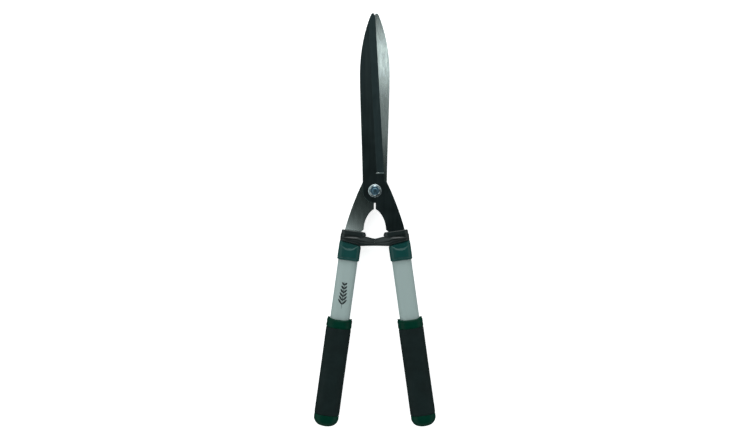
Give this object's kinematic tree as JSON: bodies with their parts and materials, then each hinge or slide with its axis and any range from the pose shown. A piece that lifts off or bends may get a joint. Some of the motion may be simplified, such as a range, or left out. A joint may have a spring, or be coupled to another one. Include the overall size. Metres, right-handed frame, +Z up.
{
  "type": "hedge shears",
  "caption": "Two-handed hedge shears, closed: long straight blades crossing on a nut and bolt pivot, rubber buffers, oval tube handles and soft grips.",
  "frame": {"origin": "under the middle of the tool's outer box, on the surface it lies on", "axes": "+Y to the blade tips, +X to the right handle, +Z up through the pivot nut"},
  "size_m": [0.1722, 0.5826, 0.0275],
  "materials": {
    "blade_steel": "dark non-stick coating outside, ground bare steel inside",
    "buffer_rubber": "satin moulded elastomer",
    "green_plastic": "satin moulded plastic",
    "plug_plastic": "moulded",
    "rivet_steel": "plain",
    "tube_metal": "satin silver-grey lacquer",
    "grip_rubber": "matt, finely textured",
    "zinc_steel": "bright zinc plate",
    "blue_nylon": "plain"
  },
  "bodies": {
    "rear_half": {"rear_blade": "blade_steel", "left_buffer": "buffer_rubber", "left_ferrule": "green_plastic", "left_tang_plug": "plug_plastic", "left_rivet": "rivet_steel", "left_tube": "tube_metal", "left_grip_core": "green_plastic", "left_grip": "grip_rubber", "left_end_cap": "green_plastic", "pivot_bolt": "zinc_steel", "pivot_washer": "zinc_steel", "pivot_nut": "zinc_steel", "nut_insert": "blue_nylon"},
    "front_half": {"front_blade": "blade_steel", "right_buffer": "buffer_rubber", "right_ferrule": "green_plastic", "right_tang_plug": "plug_plastic", "right_rivet": "rivet_steel", "right_tube": "tube_metal", "right_grip_core": "green_plastic", "right_grip": "grip_rubber", "right_end_cap": "green_plastic"}
  },
  "joints": [
    {"name": "blade_pivot", "type": "hinge", "parent": "rear_half", "child": "front_half", "pos_m": [0, 0.041, 0.013], "axis": [0, 0, 1], "range_deg": [0, 70]}
  ]
}
